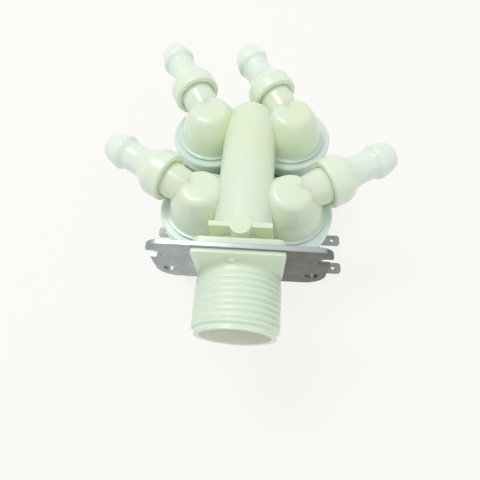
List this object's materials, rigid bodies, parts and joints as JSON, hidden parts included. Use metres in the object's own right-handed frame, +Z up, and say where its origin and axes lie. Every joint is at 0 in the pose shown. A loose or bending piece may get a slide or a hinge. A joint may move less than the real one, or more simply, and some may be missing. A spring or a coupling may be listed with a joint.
{
  "type": "washing machine inlet valve",
  "caption": "Water inlet valve with a threaded inlet, a steel mounting bracket, solenoid valves on a common manifold and barbed hose nozzles, for the rear panel of a washing machine.",
  "frame": {"origin": "on the inlet axis, midway between the bracket's two round holes, in the bracket's front face", "axes": "-Y out along the threaded inlet, +X to the right when looking into the machine along +Y, +Z up, away from the coils"},
  "size_m": [0.1038, 0.1177, 0.0658],
  "materials": {
    "body_nylon": "moulded, milky",
    "nozzle_nylon": "moulded, milky",
    "bracket_steel": "zinc plated",
    "strainer_plastic": "moulded",
    "regulator_plastic": "moulded",
    "rubber": "moulded rubber",
    "guide_plastic": "moulded",
    "insert_plastic": "moulded",
    "plunger_steel": "ground",
    "spring_steel": "drawn",
    "bobbin_plastic": "moulded",
    "winding_copper": "enamelled wire",
    "jacket_plastic": "moulded",
    "terminal_tin": "tin plated",
    "yoke_steel": "zinc plated",
    "clip_steel": "stamped"
  },
  "bodies": {
    "housing": {"valve_body": "body_nylon", "mounting_bracket": "bracket_steel", "inlet_strainer": "strainer_plastic", "flow_regulator": "regulator_plastic", "flow_washer": "rubber", "nozzle_front_left": "nozzle_nylon", "guide_tube_front_left": "guide_plastic", "diaphragm_front_left": "rubber", "return_spring_front_left": "spring_steel", "bobbin_front_left": "bobbin_plastic", "winding_front_left": "winding_copper", "coil_jacket_front_left": "jacket_plastic", "terminals_front_left": "terminal_tin", "yoke_front_left": "yoke_steel", "coil_clip_front_left": "clip_steel", "nozzle_front_right": "nozzle_nylon", "guide_tube_front_right": "guide_plastic", "diaphragm_front_right": "rubber", "return_spring_front_right": "spring_steel", "bobbin_front_right": "bobbin_plastic", "winding_front_right": "winding_copper", "coil_jacket_front_right": "jacket_plastic", "terminals_front_right": "terminal_tin", "yoke_front_right": "yoke_steel", "coil_clip_front_right": "clip_steel", "nozzle_rear_left": "nozzle_nylon", "guide_tube_rear_left": "guide_plastic", "diaphragm_rear_left": "rubber", "return_spring_rear_left": "spring_steel", "bobbin_rear_left": "bobbin_plastic", "winding_rear_left": "winding_copper", "coil_jacket_rear_left": "jacket_plastic", "terminals_rear_left": "terminal_tin", "yoke_rear_left": "yoke_steel", "coil_clip_rear_left": "clip_steel", "nozzle_rear_right": "nozzle_nylon", "guide_tube_rear_right": "guide_plastic", "diaphragm_rear_right": "rubber", "return_spring_rear_right": "spring_steel", "bobbin_rear_right": "bobbin_plastic", "winding_rear_right": "winding_copper", "coil_jacket_rear_right": "jacket_plastic", "terminals_rear_right": "terminal_tin", "yoke_rear_right": "yoke_steel", "coil_clip_rear_right": "clip_steel"},
    "armature_front_left": {"plunger_front_left": "plunger_steel", "plunger_seal_front_left": "rubber"},
    "insert_front_left": {"pilot_insert_front_left": "insert_plastic"},
    "armature_front_right": {"plunger_front_right": "plunger_steel", "plunger_seal_front_right": "rubber"},
    "insert_front_right": {"pilot_insert_front_right": "insert_plastic"},
    "armature_rear_left": {"plunger_rear_left": "plunger_steel", "plunger_seal_rear_left": "rubber"},
    "insert_rear_left": {"pilot_insert_rear_left": "insert_plastic"},
    "armature_rear_right": {"plunger_rear_right": "plunger_steel", "plunger_seal_rear_right": "rubber"},
    "insert_rear_right": {"pilot_insert_rear_right": "insert_plastic"}
  },
  "joints": [
    {"name": "armature_slide_front_left", "type": "slide", "parent": "housing", "child": "armature_front_left", "axis": [0, 0, -1], "range_m": [0, 0.003], "stiffness_N_per_m": 100, "springref_m": -0.004, "deforming": ["return_spring_front_left"]},
    {"name": "insert_lift_front_left", "type": "slide", "parent": "housing", "child": "insert_front_left", "axis": [0, 0, -1], "range_m": [0, 0.0015], "deforming": ["diaphragm_front_left"]},
    {"name": "armature_slide_front_right", "type": "slide", "parent": "housing", "child": "armature_front_right", "axis": [0, 0, -1], "range_m": [0, 0.003], "stiffness_N_per_m": 100, "springref_m": -0.004, "deforming": ["return_spring_front_right"]},
    {"name": "insert_lift_front_right", "type": "slide", "parent": "housing", "child": "insert_front_right", "axis": [0, 0, -1], "range_m": [0, 0.0015], "deforming": ["diaphragm_front_right"]},
    {"name": "armature_slide_rear_left", "type": "slide", "parent": "housing", "child": "armature_rear_left", "axis": [0, 0, -1], "range_m": [0, 0.003], "stiffness_N_per_m": 100, "springref_m": -0.004, "deforming": ["return_spring_rear_left"]},
    {"name": "insert_lift_rear_left", "type": "slide", "parent": "housing", "child": "insert_rear_left", "axis": [0, 0, -1], "range_m": [0, 0.0015], "deforming": ["diaphragm_rear_left"]},
    {"name": "armature_slide_rear_right", "type": "slide", "parent": "housing", "child": "armature_rear_right", "axis": [0, 0, -1], "range_m": [0, 0.003], "stiffness_N_per_m": 100, "springref_m": -0.004, "deforming": ["return_spring_rear_right"]},
    {"name": "insert_lift_rear_right", "type": "slide", "parent": "housing", "child": "insert_rear_right", "axis": [0, 0, -1], "range_m": [0, 0.0015], "deforming": ["diaphragm_rear_right"]}
  ],
  "couplings": [
    {"joint": "insert_lift_front_left", "follows": "armature_slide_front_left", "ratio": 0.5},
    {"joint": "insert_lift_front_right", "follows": "armature_slide_front_right", "ratio": 0.5},
    {"joint": "insert_lift_rear_left", "follows": "armature_slide_rear_left", "ratio": 0.5},
    {"joint": "insert_lift_rear_right", "follows": "armature_slide_rear_right", "ratio": 0.5}
  ]
}
